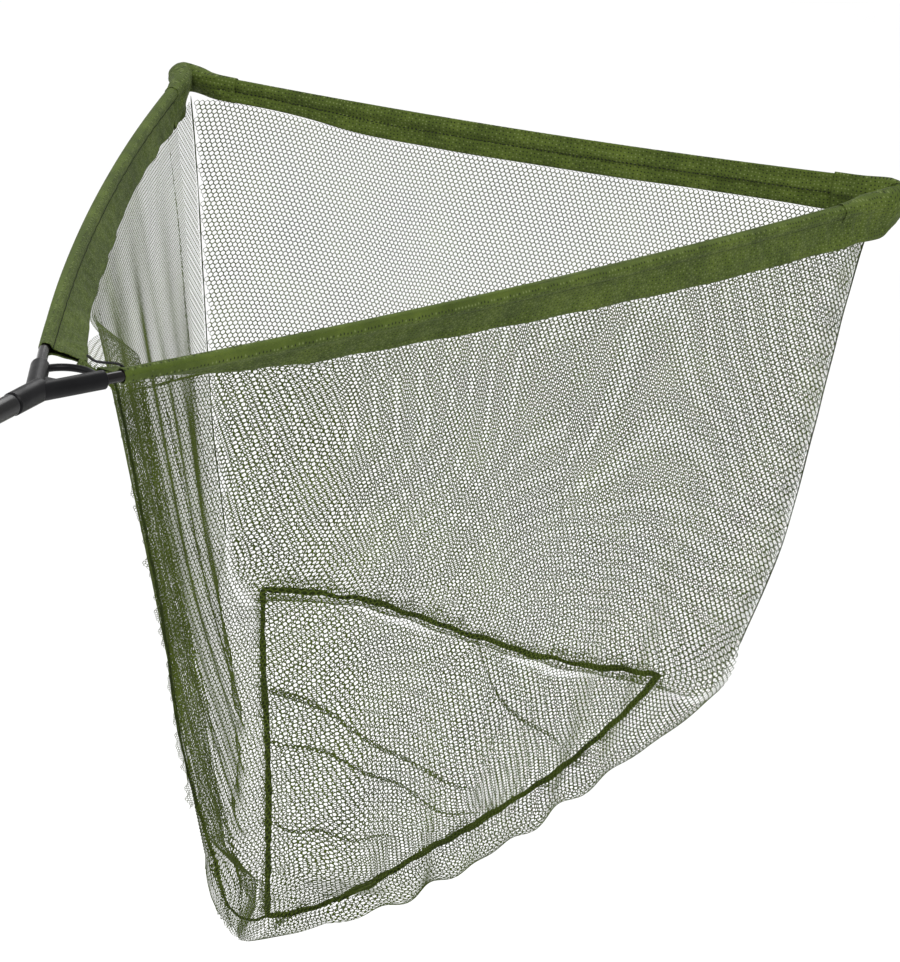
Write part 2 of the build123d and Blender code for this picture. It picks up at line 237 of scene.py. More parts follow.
class Panel:
    """One side of the bag, by share t along its top and share v down it.

    It falls to just outside its base seam, then turns under and comes back up to that seam.
    """

    def __init__(self, top, start, end, seam, outs, reach, lift, drop):
        self.top, self.start, self.end, self.seam = top, start, end, seam
        self.outs = [np.array(out) for out in outs]
        self.reach, self.lift, self.drop = reach, lift, drop
        self.measure()

    def low_edge(self, t):
        """The seam's points, the outward directions there and the outermost points."""
        seam = at(self.seam, t)
        first, last = (1 - t) ** 5, t ** 7
        weights = (first, np.clip(1 - first - last, 0, None), last)
        out = sum(w[..., None] * o for w, o in zip(weights, self.outs))
        out /= np.linalg.norm(out, axis=-1, keepdims=True)
        by_share = [sum(w * value for w, value in zip(weights, values))[..., None]
                    for values in (self.reach, self.lift, self.drop)]
        return seam, out, by_share

    def point(self, t, v):
        seam, out, (reach, lift, drop) = self.low_edge(t)
        pucker = 1 + 0.22 * waves(t, 0 * t, (0.13, 0.22, 0.09), 3)[..., None]
        middle = (4 * t * (1 - t))[..., None]
        drop = drop * (1 + (pucker - 1) * middle)
        low = seam + out * reach * (1 + (pucker - 1) * middle) + UP * lift
        w = np.clip(v / TURN_UNDER, 0, 1)[..., None]
        s = t[..., None]
        start, end = at(self.start, w[..., 0]), at(self.end, w[..., 0])
        corners = ((1 - s) * (1 - w) * at(self.top, 0 * t) + s * (1 - w) * at(self.top, 0 * t + 1)
                   + (1 - s) * w * self.start[-1] + s * w * self.end[-1])
        upper = (1 - w) * at(self.top, t) + w * low + (1 - s) * start + s * end - corners
        belly = 0.010 * np.sin(math.pi * s) * np.sin(math.pi * w)
        ripple = 0.0035 * waves(t, v * 0.6, (0.31, 0.23, 0.17), 5)[..., None]
        upper = upper + out * (belly + ripple * np.sin(math.pi * w) * (0.3 + 0.7 * middle))
        u = np.clip((v - TURN_UNDER) / (1 - TURN_UNDER), 0, 1)[..., None]
        first, second = low - UP * drop, seam - UP * drop + out * reach * 0.35
        under = ((1 - u) ** 3 * low + 3 * u * (1 - u) ** 2 * first + 3 * u * u * (1 - u) * second
                 + u ** 3 * seam)
        return drawn_in(np.where(v[..., None] <= TURN_UNDER, upper, under))

    def measure(self, columns=41, steps=161):
        """Tabulates v by the share of each column's own length, so that rows of netting lie evenly."""
        v = np.linspace(0, 1, steps)
        grid = self.point(*np.meshgrid(np.linspace(0, 1, columns), v, indexing="ij"))
        travelled = np.cumsum(np.linalg.norm(np.diff(grid, axis=1), axis=2), axis=1)
        travelled = np.hstack([np.zeros((columns, 1)), travelled])
        self.height = float(travelled[columns // 2, -1])
        self.even = np.stack([np.interp(v, row / row[-1], v) for row in travelled])

    def down(self, t, share):
        """The share v at an even share of the column's length."""
        columns, steps = self.even.shape
        x, y = np.clip(t, 0, 1) * (columns - 1), np.clip(share, 0, 1) * (steps - 1)
        i, j = np.minimum(x.astype(int), columns - 2), np.minimum(y.astype(int), steps - 2)
        fx, fy = x - i, y - j
        near = self.even[i, j] * (1 - fy) + self.even[i, j + 1] * fy
        far = self.even[i + 1, j] * (1 - fy) + self.even[i + 1, j + 1] * fy
        return near * (1 - fx) + far * fx

    def spread(self, t, share):
        """The point at share t along the row that lies an even share down every column."""
        return self.point(np.clip(t, 0, 1), self.down(t, share))

    def widths(self, share, steps=48):
        grid = self.spread(*np.broadcast_arrays(np.linspace(0, 1, steps)[None, :], share[:, None]))
        return np.linalg.norm(np.diff(grid, axis=1), axis=2).sum(1)


def side_panel():
    return Panel(top_of_side(), smooth_line(THROAT), smooth_line(CORNER_LINE), smooth_line(BASE_SEAM),
                 (OUT_THROAT, OUT_SIDE, OUT_CORNER), (0.137, 0.026, 0.080), (0.117, 0.004, 0.032),
                 (0.050, 0.040, 0.055))


def front_panel():
    start = smooth_line(CORNER_LINE)
    corner_mirror = np.array(OUT_CORNER) * MIRROR
    return Panel(top_of_front(), start, start * MIRROR, smooth_line(FRONT_SEAM),
                 (OUT_CORNER, OUT_FRONT, corner_mirror), (0.080, 0.024, 0.080), (0.032, 0.004, 0.032),
                 (0.050, 0.020, 0.050))


# Folds in the netting: each is a loose pinch of extra cloth, laid over to one side.
# (shares v down the panel, share t along it there, the fold's height there, which way it leans)
RIGHT_FOLDS = [
    ((0.0, 0.5, 0.80), (0.55, 0.56, 0.58), (0.000, 0.003, 0.000), 1),
    ((0.0, 0.15, 0.35, 0.48), (0.083, 0.083, 0.086, 0.086), (0.004, 0.007, 0.004, 0.000), 1),
    ((0.0, 0.12, 0.28, 0.46, 0.62), (0.062, 0.052, 0.043, 0.047, 0.055),
     (0.006, 0.011, 0.016, 0.012, 0.0), 1),
    ((0.5, 0.63, 0.80, 0.93), (0.030, 0.040, 0.045, 0.035), (0.000, 0.006, 0.008, 0.000), 1),
    ((0.1, 0.30, 0.64, 0.80, 0.95), (0.016, 0.015, 0.009, 0.020, 0.02), (0.0, 0.008, 0.010, 0.006, 0.0), 1),
]
LEFT_FOLDS = [
    ((0.0, 0.4, 0.85), (0.905, 0.935, 0.985), (0.002, 0.006, 0.000), 1),
    ((0.0, 0.5, 0.90), (0.30, 0.34, 0.38), (0.002, 0.007, 0.000), 1),
    ((0.1, 0.5, 0.90), (0.030, 0.030, 0.040), (0.000, 0.006, 0.000), 1),
]
LEAN = math.radians(74)
FOLD_OPEN = 0.10
FOLD_ROUND = 0.0008


def fold_in(m, v, width, folds):
    """Where cloth measured m from the panel's end lies along it, and how far it stands proud."""
    along = m.copy()
    proud = np.zeros_like(m)
    shift = np.zeros_like(m)
    for shares, places, heights, side in folds:
        height = np.interp(v, shares, heights)
        place = (1 - np.interp(v, shares, places)) * width
        middle = place + height + shift
        off = m - middle
        inside = np.abs(off) < height
        taken = np.clip(off + height, 0, 2 * height)
        along -= taken
        rise = height - np.sqrt(np.minimum(np.abs(off), height) ** 2 + FOLD_ROUND ** 2)
        rise = np.where(inside, np.clip(rise, 0, None), 0)
        proud += rise * math.cos(LEAN)
        along += rise * math.sin(LEAN) * side
        along += np.where(inside, (off + height) * FOLD_OPEN, 0)
        shift += 2 * height
    return along, proud


# ---------------------------------------------------------------- netting
def honeycomb(columns, rows):
    """Node places and the six nodes round each hole, for a zigzag netting of unit cells.

    Nodes are (half columns, rows); the netting's rows zigzag by ZIGZAG either side of level.
    """
    i, j = np.meshgrid(np.arange(2 * columns + 2), np.arange(rows + 1), indexing="ij")
    nodes = np.stack([i / 2, j + np.where((i + j) % 2 == 1, ZIGZAG, -ZIGZAG)], -1).reshape(-1, 2)
    index = np.arange(nodes.shape[0]).reshape(i.shape)
    a, b = np.meshgrid(np.arange(2 * columns), np.arange(rows), indexing="ij")
    keep = (a + b) % 2 == 1
    a, b = a[keep], b[keep]
    ring = np.stack([index[a, b], index[a, b + 1], index[a + 1, b + 1], index[a + 2, b + 1],
                     index[a + 2, b], index[a + 1, b]], 1)
    return nodes, ring


def net_mesh(nodes, ring, place, normal_at, strand=STRAND):
    """Ridged strands round each hole: two sloping faces to a strand, sharing its ridge."""
    used, ring = np.unique(ring, return_inverse=True)
    ring = ring.reshape(-1, 6)
    nodes = nodes[used]
    centres = nodes[ring].mean(1)
    rims = nodes[ring] + (centres[:, None] - nodes[ring]) * strand
    ridge = place(nodes) + normal_at(nodes) * STRAND_HEIGHT
    points = np.vstack([ridge, place(rims.reshape(-1, 2))])
    first_rim = len(nodes) + 6 * np.arange(len(ring))[:, None]
    quads = []
    for k in range(6):
        n = (k + 1) % 6
        quads.append(np.stack([ring[:, k], ring[:, n], first_rim[:, 0] + n, first_rim[:, 0] + k], 1))
    return points, np.vstack(quads)


def mesh_object(name, points, faces, uv=None):
    """A piece from head points; faces all have the same number of corners."""
    faces = np.asarray(faces, np.int32)
    mesh = bpy.data.meshes.new(name)
    mesh.vertices.add(len(points))
    mesh.vertices.foreach_set("co", (np.asarray(points) + HEAD).astype(np.float32).ravel())
    count, size = faces.shape
    mesh.loops.add(count * size)
    mesh.loops.foreach_set("vertex_index", faces.ravel())
    mesh.polygons.add(count)
    mesh.polygons.foreach_set("loop_start", np.arange(0, count * size, size, dtype=np.int32))
    mesh.polygons.foreach_set("loop_total", np.full(count, size, np.int32))
    mesh.update(calc_edges=True)
    mesh.validate()
    if uv is not None:
        layer = mesh.uv_layers.new(name="cloth")
        layer.data.foreach_set("uv", np.asarray(uv, np.float32)[faces.ravel()].ravel())
    mesh.polygons.foreach_set("use_smooth", np.ones(count, bool))
    piece = bpy.data.objects.new(name, mesh)
    bpy.context.scene.collection.objects.link(piece)
    return piece


def panel_net(name, panel, folds, side, share, material, strand=STRAND):
    """Netting over one stretch of a panel's height, share = (from, to)."""
    rows_all = int(panel.height / ROW)
    low, high = int(share[0] * rows_all), int(share[1] * rows_all)
    rows = np.linspace(0, 1, rows_all + 1)
    widths = panel.widths(rows)
    most = widths.max() + sum(2 * max(fold[2]) for fold in folds) + 2 * CELL
    nodes, ring = honeycomb(int(most / CELL), high - low)
    nodes = nodes * np.array([CELL, 1.0]) + np.array([0, low])

    def shares(flat):
        v = flat[:, 1] / rows_all
        width = np.interp(v, rows, widths)
        m = flat[:, 0] + 0.006 * waves(flat[:, 0], v * panel.height, (0.41, 0.23), 11) - 0.006
        along, proud = fold_in(m, v, width, folds)
        return 1 - along / width, v, proud

    def place(flat):
        t, v, proud = shares(flat)
        return (panel.spread(t, v) + normals(t, v) * proud[:, None]) * (1, side, 1)

    def normals(t, v):
        step = 0.004
        t, v = np.clip(t, step, 1 - step), np.clip(v, step, 1 - step)
        across = panel.spread(t + step, v) - panel.spread(t - step, v)
        down = panel.spread(t, v + step) - panel.spread(t, v - step)
        n = np.cross(across, down)
        return n / np.linalg.norm(n, axis=1, keepdims=True)

    def normal_at(flat):
        t, v, _ = shares(flat)
        return normals(t, v) * (1, side, 1)

    t, v, _ = shares(nodes)
    good = (t < 1.0) & (t > 0.0) & (v <= 1.0) & (v >= 0)
    ring = ring[good[ring].all(1)]
    points, faces = net_mesh(nodes, ring, place, normal_at, strand)
    piece = mesh_object(name, points, faces)
    piece.data.materials.append(material)
    return piece


def base_point(p, q):
    """The base, by share p from the throat to the front and share q from left to right."""
    left = at(smooth_line(BASE_SEAM), p)
    right = left * MIRROR
    q = q[..., None]
    front = at(smooth_line(FRONT_SEAM), q[..., 0])
    straight = (1 - q) * left + q * right
    level = (1 - q) * np.array(FRONT_SEAM[0]) + q * np.array(FRONT_SEAM[-1])
    sag = 0.010 * waves(p, q[..., 0], (0.7, 0.4, 0.3), 21)[..., None] - 0.012
    inner = (4 * q * (1 - q))
    return straight + (p[..., None] ** 2) * (front - level) + UP * sag * inner


# Creases across the base, each a standing pinch of netting: (from, to) in shares (p, q), and height
BASE_CREASES = [
    ((0.73, 0.00), (0.65, 0.80), 0.010),
    ((0.61, 0.01), (0.55, 0.97), 0.007),
    ((0.50, 0.99), (0.92, 0.66), 0.010),
    ((0.99, 0.54), (0.75, 0.97), 0.010),
    ((0.36, 0.03), (0.42, 0.80), 0.005),
]
CREASE_DRAWS = 0.060
CREASE_TAKES = 0.85
CREASE_WANDER = 0.007


def creased(x, y, depth, half_width):
    """Base netting's place after its creases draw it together, and how far it stands up there."""
    rise = 0 * x
    for (p0, q0), (p1, q1), height in BASE_CREASES:
        start = np.array([p0 * depth, half_width * p0 * (1 - 2 * q0)])
        run = np.array([p1 * depth, half_width * p1 * (1 - 2 * q1)]) - start
        reach = np.linalg.norm(run)
        run = run / reach
        along = ((x - start[0]) * run[0] + (y - start[1]) * run[1]) / reach
        bend = CREASE_WANDER * np.sin(along * 6 + p0 * 9)
        off = (y - start[1]) * run[0] - (x - start[0]) * run[1] - bend
        fade = ease(along, -0.03, 0.04) * ease(1 - along, -0.03, 0.2) * (1.15 - 0.6 * np.clip(along, 0, 1))
        tall = height * fade
        pull = CREASE_TAKES * np.clip(off, -tall, tall) * (1 - ease(np.abs(off) - tall, 0, CREASE_DRAWS))
        x, y = x + pull * run[1], y - pull * run[0]
        rise = rise + np.clip(tall - np.abs(off), 0, None)
    return x, y, rise


def base_net(material):
    corner, foot = np.array(BASE_SEAM[-1]), np.array(BASE_SEAM[0])
    depth, half_width = corner[0] - foot[0], corner[1]
    nodes, ring = honeycomb(int(2.2 * half_width / CELL), int(1.2 * depth / ROW))
    nodes = nodes * np.array([CELL, ROW]) - np.array([1.1 * half_width, 0])

    def shares(flat):
        x, y, rise = creased(flat[:, 1], flat[:, 0], depth, half_width)
        p = x / depth
        q = 0.5 - 0.5 * y / np.maximum(half_width * np.clip(p, 0, 1), 1e-4)
        return p, q, rise

    def place(flat):
        p, q, rise = shares(flat)
        return base_point(np.clip(p, 0, 1), np.clip(q, 0, 1)) + UP * rise[:, None]

    def normal_at(flat):
        return np.broadcast_to(UP, (len(flat), 3))

    p, q, _ = shares(nodes)
    good = (p > 0.02) & (p < 1) & (q > 0) & (q < 1)
    ring = ring[good[ring].all(1)]
    points, faces = net_mesh(nodes, ring, place, normal_at)
    piece = mesh_object("base_netting", points, faces)
    piece.data.materials.append(material)
    return piece


def frill(name, line, out, height, seed, material, gather=0.5, rows=4):
    """A seam's loose edge of bunched netting, standing off the line in small waves."""
    length = length_of(line)
    nodes, ring = honeycomb(int(length / (CELL * gather)), rows)
    columns = nodes[:, 0].max()
    out = np.asarray(out, float) / np.linalg.norm(out)
    aside = np.cross(line[-1] - line[0], out)
    aside /= np.linalg.norm(aside)

    def place(flat):
        share, up = flat[:, 0] / columns, np.clip(flat[:, 1], 0, None) / rows
        run, still = share * length, 0 * share
        tall = height * up * (0.8 + 0.4 * waves(run, still, (0.09, 0.034, 0.15), seed))
        lean = 0.6 * waves(run, still, (0.045, 0.027, 0.07), seed + 1)
        flutter = 0.4 * waves(run, still, (0.012, 0.019), seed + 2)
        return at(line, share) + out * tall[:, None] + aside * (tall * (lean + flutter))[:, None]

    def normal_at(flat):
        return np.broadcast_to(aside, (len(flat), 3))

    points, faces = net_mesh(nodes, ring, place, normal_at)
    piece = mesh_object(name, points, faces)
    piece.data.materials.append(material)
    return piece


# ---------------------------------------------------------------- tubes: seams and sleeves
def tube_frames(line):
    """Two unit directions across a line at each of its points."""
    heading = np.gradient(line, axis=0)
    heading /= np.linalg.norm(heading, axis=1, keepdims=True)
    side = np.cross(heading, UP)
    side /= np.linalg.norm(side, axis=1, keepdims=True) + 1e-12
    return heading, side, np.cross(side, heading)


def grid_faces(rows, columns, closed=True, first=0):
    i, j = np.meshgrid(np.arange(rows - 1), np.arange(columns if closed else columns - 1), indexing="ij")
    k = (j + 1) % columns
    return first + np.stack([i * columns + j, (i + 1) * columns + j, (i + 1) * columns + k,
                             i * columns + k], -1).reshape(-1, 4)


def tube(name, centre, radius, material, uv_width=0.02):
    """A round piece along a line; radius has a row for each point and a column for each angle."""
    _, side, over = tube_frames(centre)
    around = radius.shape[1]
    angle = np.linspace(0, 2 * math.pi, around, endpoint=False)
    points = (centre[:, None] + side[:, None] * (radius * np.cos(angle))[..., None]
              + over[:, None] * (radius * np.sin(angle))[..., None])
    travelled = np.concatenate([[0], np.cumsum(np.linalg.norm(np.diff(centre, axis=0), axis=1))])
    uv = np.stack(np.broadcast_arrays(travelled[:, None], angle[None, :] / (2 * math.pi) * uv_width), -1)
    piece = mesh_object(name, points.reshape(-1, 3), grid_faces(len(centre), around), uv.reshape(-1, 2))
    piece.data.materials.append(material)
    return piece


def gathered_seam(name, line, radius, seed, material, lobes=5, around=20, step=0.0025):
    """A seam of bunched netting: a lobed, slowly twisting rope of uneven thickness."""
    count = max(8, int(length_of(line) / step))
    share = np.linspace(0, 1, count)
    centre = at(line, share)
    travelled = share * length_of(line)
    flat = 0 * travelled
    centre = centre + UP * (0.0016 * waves(travelled, flat, (0.05, 0.031), seed))[:, None]
    twist = 1.4 * waves(travelled, flat, (0.17, 0.09), seed + 1)
    thick = radius * (1 + 0.30 * waves(travelled, flat, (0.061, 0.024, 0.11), seed + 2))
    thick = thick * np.clip(np.sqrt(np.minimum(share, 1 - share) * count / 3 + 0.08), 0, 1)
    angle = np.linspace(0, 2 * math.pi, around, endpoint=False)
    turned = angle[None, :] + twist[:, None]
    lobe = 1 + 0.17 * np.cos(lobes * turned) + 0.08 * np.cos(2 * turned)
    fine = 1 + 0.05 * np.sin(travelled[:, None] / 0.0011 + 3 * angle[None, :])
    return tube(name, centre, thick[:, None] * lobe * fine, material, 2 * math.pi * radius)


def sleeve_outline(count, wire_r, width, rise):
    """A flat tube's section, round about its wire and flat to the hem: (hemward, proud) pairs.

    Its upper fold stands at least the wire's radius, or else the given rise, above the wire.
    """
    u = np.linspace(0, 1, count // 2)
    fold_r = wire_r + 0.0006 if rise <= wire_r else 0.0024
    top = -max(rise, fold_r)
    reach = width + (top - width) * u
    body = 0.0013 + 0.0009 * np.sin(math.pi * np.clip(reach / width, 0, 1)) ** 2
    hem = 0.0007 * ease(reach, width - 0.0085, width - 0.0065)
    flat = (body + hem) * (1 - np.exp(-np.abs(reach) / 0.004))
    bulge = (wire_r + 0.0009) * np.exp(-(reach / (1.6 * wire_r)) ** 2)
    hem_close = np.clip(reach - width + 0.0012, 0, None) / 0.0012
    fold_close = np.clip(top + fold_r - reach, 0, None) / fold_r
    closing = np.sqrt(np.clip(1 - hem_close ** 2, 0, 1) * np.clip(1 - fold_close ** 2, 0, 1))
    return reach, (flat + bulge) * closing


def settle(piece):
    """Makes a piece's modifiers part of its mesh."""
    graph = bpy.context.evaluated_depsgraph_get()
    final = bpy.data.meshes.new_from_object(piece.evaluated_get(graph))
    piece.modifiers.clear()
    piece.data = final
    return piece


def flat_tube(name, line, tilt, width, wire_r, material, seed, creases=1.0, around=60, rise=0.0,
              flip=(1, 1, 1)):
    """An open-ended fabric sleeve hung on a line; its flat part ripples along its length.

    Returns the piece with its stitch line's points and outward directions on either face.
    """
    hemward, normal = hung(line, tilt)
    steps = np.linalg.norm(np.diff(line, axis=0), axis=1)
    travelled = np.concatenate([[0], np.cumsum(steps)])
    width, wire_r, creases, rise = (np.broadcast_to(value, travelled.shape)
                                    for value in (width, wire_r, creases, rise))
    sections = [sleeve_outline(around, *sizes) for sizes in zip(wire_r, width, rise)]
    reach = np.array([np.concatenate([x, x[::-1]]) for x, _ in sections])
    half = np.array([np.concatenate([y, -y[::-1]]) for _, y in sections])
    span = np.array([np.concatenate([x, 2 * w - x[::-1]]) for (x, _), w in zip(sections, width)])
    loose = np.clip(reach / width[:, None], 0, 1)
    t = travelled[:, None] + 0 * reach
    crease = creases[:, None]
    ripple = 0.0022 * waves(t, reach * 1.5, (0.043, 0.071, 0.12), seed) * loose ** 1.2 * crease
    puff = 0.0009 * waves(t, reach, (0.019, 0.028), seed + 3) * np.sin(math.pi * loose) * crease
    pinch = 0.0008 * np.exp(-((reach - STITCH_LINE) / 0.0014) ** 2)
    proud = half + ripple + np.sign(half) * (np.clip(puff, -0.0006, None) + 0.0004 - pinch)
    points = line[:, None] + hemward[:, None] * reach[..., None] + normal[:, None] * proud[..., None]
    points, normal = points * flip, normal * flip
    uv = np.stack([t, span], -1).reshape(-1, 2)
    piece = mesh_object(name, points.reshape(-1, 3), grid_faces(len(line), reach.shape[1]), uv)
    piece.data.materials.append(material)
    fabric = piece.modifiers.new("fabric", "SOLIDIFY")
    fabric.thickness, fabric.offset = 0.0005, -1.0
    column = np.argmin(np.abs(reach[0, :around // 2] - STITCH_LINE))
    faces = [(points[:, column], normal), (points[:, -1 - column], -normal)]
    return settle(piece), faces


def stitch_row(name, points, heading, normal, material, length=0.0032, width=0.0011, height=0.0009):
    """Short raised stitches, one at each point."""
    across = np.cross(normal, heading)
    shape = [(-1, 0, 0), (-0.6, 1, 0), (0.6, 1, 0), (1, 0, 0), (0.6, -1, 0), (-0.6, -1, 0),
             (-0.5, 0, 1), (0.5, 0, 1)]
    tris = [(0, 1, 6), (1, 2, 7), (1, 7, 6), (2, 3, 7), (3, 4, 7), (4, 5, 6), (4, 6, 7), (5, 0, 6),
            (1, 0, 5), (1, 5, 4), (1, 4, 2), (2, 4, 3)]
    local = np.array(shape) * np.array([length, width, height]) / np.array([2, 2, 1])
    verts = (points[:, None] + heading[:, None] * local[None, :, :1]
             + across[:, None] * local[None, :, 1:2] + normal[:, None] * local[None, :, 2:])
    faces = (np.array(tris)[None] + 8 * np.arange(len(points))[:, None, None]).reshape(-1, 3)
    piece = mesh_object(name, verts.reshape(-1, 3), faces)
    piece.data.materials.append(material)
    return piece


# ---------------------------------------------------------------- materials
class Look:
    """A procedural material, built up round its Principled shader."""

    def __init__(self, name, roughness=0.6, **constants):
        self.material = bpy.data.materials.new(name)
        self.material.use_nodes = True
        self.tree = self.material.node_tree
        self.shader = self.tree.nodes["Principled BSDF"]
        self.shader.inputs["Roughness"].default_value = roughness
        for socket, value in constants.items():
            self.shader.inputs[socket.replace("_", " ")].default_value = value

    def node(self, kind, settings=None, **inputs):
        node = self.tree.nodes.new(kind)
        for key, value in (settings or {}).items():
            setattr(node, key, value)
        for key, value in inputs.items():
            socket = node.inputs[int(key[1:])] if key[0] == "i" and key[1:].isdigit() else node.inputs[key]
            if isinstance(value, bpy.types.NodeSocket):
                self.tree.links.new(value, socket)
            else:
                socket.default_value = value
        return node

    def place(self):
        return self.node("ShaderNodeTexCoord").outputs["Object"]

    def cloth(self):
        return self.node("ShaderNodeUVMap", {"uv_map": "cloth"}).outputs["UV"]

    def noise(self, vector, scale, detail=3.0):
        node = self.node("ShaderNodeTexNoise", Vector=vector, Scale=scale, Detail=detail)
        return node.outputs["Fac"]

    def stretched(self, vector, scale):
        return self.node("ShaderNodeMapping", Vector=vector, Scale=scale).outputs["Vector"]

    def ramp(self, factor, stops):
        node = self.node("ShaderNodeValToRGB", Fac=factor)
        elements = node.color_ramp.elements
        while len(elements) < len(stops):
            elements.new(0.5)
        for element, (place, colour) in zip(elements, stops):
            element.position = place
            element.color = (*colour, 1.0) if hasattr(colour, "__len__") else (colour,) * 3 + (1.0,)
        return node.outputs["Color"]

    def math(self, operation, a, b=0.0):
        node = self.node("ShaderNodeMath", {"operation": operation}, i0=a, i1=b)
        return node.outputs[0]

    def mix(self, factor, a, b):
        node = self.node("ShaderNodeMix", {"data_type": "RGBA"}, i0=factor)
        for socket, value in ((6, a), (7, b)):
            if isinstance(value, bpy.types.NodeSocket):
                self.tree.links.new(value, node.inputs[socket])
            else:
                node.inputs[socket].default_value = (*value, 1.0)
        return node.outputs[2]

    def colour(self, socket):
        self.tree.links.new(socket, self.shader.inputs["Base Color"])

    def rough(self, socket):
        self.tree.links.new(socket, self.shader.inputs["Roughness"])

    def bump(self, height, distance, strength=1.0):
        node = self.node("ShaderNodeBump", Height=height, Distance=distance, Strength=strength)
        self.tree.links.new(node.outputs["Normal"], self.shader.inputs["Normal"])


OLIVE_MID = (0.062, 0.094, 0.013)
# Pale colour of the painted highlights in a few of the sleeve's holes, not a fabric colour
PINHOLE_GLINT = (0.150, 0.190, 0.060)


def netting_look():
    look = Look("netting", roughness=0.6, Specular_IOR_Level=0.08)
    where = look.place()
    patches = look.noise(where, 18.0)
    threads = look.noise(where, 900.0, 2.0)
    tone = look.math("MULTIPLY", threads, 0.35)
    tone = look.math("ADD", tone, look.math("MULTIPLY", patches, 0.6))
    look.colour(look.ramp(tone, [(0.25, (0.022, 0.031, 0.004)), (0.5, (0.052, 0.074, 0.008)),
                                 (0.8, (0.110, 0.155, 0.020))]))
    look.rough(look.ramp(threads, [(0.2, 0.45), (0.8, 0.7)]))
    look.bump(threads, 0.0002, 0.6)
    return look.material


def gathered_look():
    look = Look("gathered_netting", roughness=0.75, Specular_IOR_Level=0.1)
    cloth = look.stretched(look.cloth(), (420.0, 560.0, 1.0))
    loops = look.node("ShaderNodeTexVoronoi", {"feature": "DISTANCE_TO_EDGE"}, Vector=cloth, Scale=1.0,
                      Randomness=0.55).outputs["Distance"]
    patches = look.noise(look.place(), 45.0)
    tone = look.math("ADD", look.math("MULTIPLY", loops, 0.9), look.math("MULTIPLY", patches, 0.45))
    look.colour(look.ramp(tone, [(0.15, (0.006, 0.009, 0.002)), (0.45, (0.028, 0.042, 0.005)),
                                 (0.85, (0.085, 0.125, 0.018))]))
    look.rough(look.ramp(patches, [(0.3, 0.62), (0.7, 0.85)]))
    look.bump(loops, 0.0012, 0.8)
    return look.material


def sleeve_look():
    """Knitted polyester with fine rows of pierced holes; the holes carry painted shade, a few a painted
    highlight.
    """
    look = Look("sleeve_fabric", roughness=0.82, Sheen_Weight=0.03, Sheen_Roughness=0.5,
                Specular_IOR_Level=0.15)
    cloth = look.cloth()
    holes_at = look.stretched(cloth, (250.0, 290.0, 1.0))
    pierced = look.node("ShaderNodeTexVoronoi", {"voronoi_dimensions": "2D"}, Vector=holes_at, Scale=1.0,
                        Randomness=0.25)
    holes = pierced.outputs["Distance"]
    # Picks the few holes that get a painted highlight: pale specks for light showing through them
    lit = look.math("GREATER_THAN", look.node("ShaderNodeSeparateColor", Color=pierced.outputs["Color"])
                    .outputs[0], 0.60)
    knit = look.node("ShaderNodeTexWave", {"bands_direction": "DIAGONAL"},
                     Vector=look.stretched(cloth, (700.0, 900.0, 1.0)), Scale=1.0, Distortion=1.5,
                     Detail=1.0).outputs["Fac"]
    patches = look.noise(look.place(), 26.0, 4.0)
    fine = look.noise(look.place(), 420.0, 2.0)
    tone = look.math("ADD", look.math("MULTIPLY", patches, 0.55), look.math("MULTIPLY", knit, 0.22))
    tone = look.math("ADD", tone, look.math("MULTIPLY", fine, 0.25))
    body = look.ramp(tone, [(0.22, (0.030, 0.042, 0.006)), (0.5, OLIVE_MID), (0.82, (0.135, 0.180, 0.028))])
    hole = look.ramp(holes, [(0.14, 1.0), (0.27, 0.0)])
    # Hole colour is painted light: painted shade in most holes, a painted highlight in the few picked above
    pinhole_shade_and_glint = look.mix(lit, (0.016, 0.022, 0.005), PINHOLE_GLINT)
    look.colour(look.mix(hole, body, pinhole_shade_and_glint))
    look.rough(look.ramp(fine, [(0.3, 0.68), (0.8, 0.9)]))
    height = look.math("SUBTRACT", look.math("MULTIPLY", knit, 0.5), look.math("MULTIPLY", hole, 0.8))
    look.bump(height, 0.0006, 0.7)
    return look.material


def moulded_look(name, dark, light, roughness=0.42, grain=900.0, **constants):
    """Moulded plastic or rubber: fine grain, slow tone changes, rubbed patches."""
    look = Look(name, roughness=roughness, **constants)
    where = look.place()
    grain_height = look.noise(where, grain, 2.0)
    patches = look.noise(where, 60.0, 4.0)
    tone = look.math("ADD", look.math("MULTIPLY", patches, 0.7), look.math("MULTIPLY", grain_height, 0.3))
    look.colour(look.ramp(tone, [(0.3, dark), (0.75, light)]))
    look.rough(look.ramp(tone, [(0.3, roughness + 0.08), (0.75, roughness - 0.06)]))
    look.bump(grain_height, 0.00012, 0.5)
    return look.material


def rod_look(name, dark, light, roughness):
    """Lacquered glass fibre: fine lengthwise fibres under a clear coat."""
    look = Look(name, roughness=roughness, Specular_IOR_Level=0.22, Coat_Weight=0.08,
                Coat_Roughness=0.08)
    fibres = look.noise(look.stretched(look.place(), (25.0, 900.0, 900.0)), 1.0, 3.0)
    scuffs = look.noise(look.place(), 35.0, 5.0)
    tone = look.math("ADD", look.math("MULTIPLY", fibres, 0.6), look.math("MULTIPLY", scuffs, 0.4))
    look.colour(look.ramp(tone, [(0.35, dark), (0.7, light)]))
    look.rough(look.ramp(scuffs, [(0.4, roughness), (0.75, roughness + 0.15)]))
    look.bump(fibres, 0.00005, 0.4)
    return look.material


def foam_look():
    look = Look("grip_foam", roughness=0.92, Specular_IOR_Level=0.2)
    where = look.place()
    pores = look.node("ShaderNodeTexVoronoi", Vector=where, Scale=1100.0).outputs["Distance"]
    wear = look.noise(where, 30.0, 4.0)
    tone = look.math("ADD", look.math("MULTIPLY", pores, 0.5), look.math("MULTIPLY", wear, 0.5))
    look.colour(look.ramp(tone, [(0.2, (0.006, 0.006, 0.007)), (0.8, (0.035, 0.035, 0.036))]))
    look.rough(look.ramp(wear, [(0.3, 0.95), (0.7, 0.8)]))
    look.bump(pores, 0.0004, 0.7)
    return look.material


